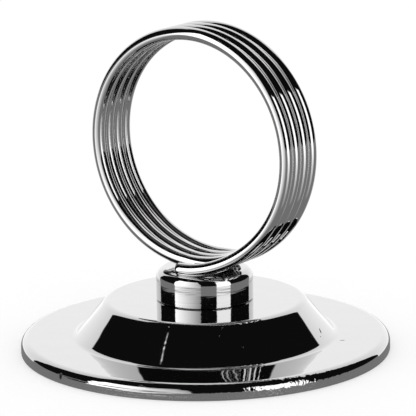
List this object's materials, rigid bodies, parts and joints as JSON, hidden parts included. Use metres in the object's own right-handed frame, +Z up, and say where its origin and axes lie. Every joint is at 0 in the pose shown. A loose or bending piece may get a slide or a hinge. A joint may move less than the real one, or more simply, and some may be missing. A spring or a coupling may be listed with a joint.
{
  "type": "place card holder",
  "caption": "Table place card holder: round chromed base with a conical plinth, and a hub on it that carries an upright ring of close-wound wire, whose turns grip a card.",
  "frame": {"origin": "centre of the base's rim, on the table", "axes": "+Z up from the table, Y along the ring's axis with the wire's front end at -Y, so the card stands in the XZ plane"},
  "size_m": [0.0572, 0.0572, 0.0508],
  "materials": {
    "base_chrome": "mirror-bright chrome plate on pressed steel",
    "hub_chrome": "mirror-bright chrome plate on turned steel",
    "wire_chrome": "bright chrome plate on drawn steel wire",
    "braze": "chrome plate over a rough braze",
    "zinc_plate": "dull zinc plate"
  },
  "bodies": {
    "stand": {"base": "base_chrome"},
    "head": {"hub": "hub_chrome", "ring_coil": "wire_chrome", "braze_seam": "braze", "plain_washer": "zinc_plate", "spring_washer": "zinc_plate", "fixing_screw": "zinc_plate"}
  },
  "joints": [
    {"name": "head_swivel", "type": "hinge", "parent": "stand", "child": "head", "pos_m": [0, 0, 0.00805], "axis": [0, 0, 1], "continuous": true}
  ]
}
